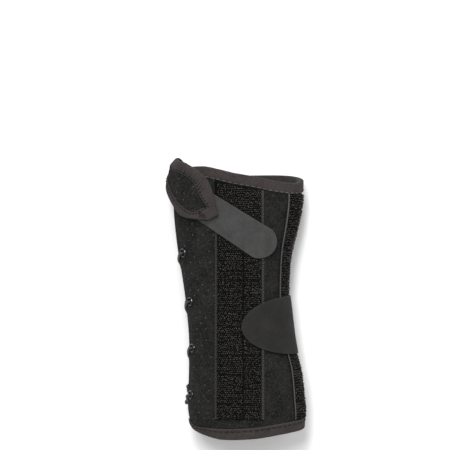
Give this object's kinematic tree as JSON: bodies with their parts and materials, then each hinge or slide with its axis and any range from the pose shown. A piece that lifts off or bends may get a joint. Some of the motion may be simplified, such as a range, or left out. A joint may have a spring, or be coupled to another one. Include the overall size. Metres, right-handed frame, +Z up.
{
  "type": "lace-up wrist brace",
  "caption": "Open padded cloth tube for the wrist with a thumb hole, a laced side, a web flap with a hook tab and a wide forearm strap.",
  "frame": {"origin": "on the rest plane, under the middle of the forearm strap's palm stretch", "axes": "+Y along the arm towards the finger end, +X towards the little-finger side, +Z up out of the brace's back side"},
  "size_m": [0.1035, 0.206, 0.0637],
  "materials": {
    "wrap_cloth": "brushed, pin-perforated black laminate",
    "loop_pile": "curly black loop pile",
    "edge_tape": "charcoal folded edge tape",
    "tab_cloth": "fine grey brushed knit",
    "strap_cloth": "smooth dark grey brushed knit",
    "lace_cord": "braided black cord",
    "black_metal": "gloss black enamel"
  },
  "bodies": {
    "root": {"wrap": "wrap_cloth", "finger_edge_tape": "edge_tape", "elbow_edge_tape": "edge_tape", "loop_panel": "loop_pile", "loop_strip": "loop_pile", "web_flap": "wrap_cloth", "flap_tape": "edge_tape", "thumb_tab": "tab_cloth", "forearm_strap": "strap_cloth", "lace": "lace_cord", "back_lace_knot": "lace_cord", "palm_lace_knot": "lace_cord", "back_eyelet_1": "black_metal", "back_eyelet_2": "black_metal", "back_eyelet_3": "black_metal", "back_eyelet_4": "black_metal", "palm_eyelet_1": "black_metal", "palm_eyelet_2": "black_metal", "palm_eyelet_3": "black_metal", "palm_eyelet_4": "black_metal"}
  },
  "joints": []
}
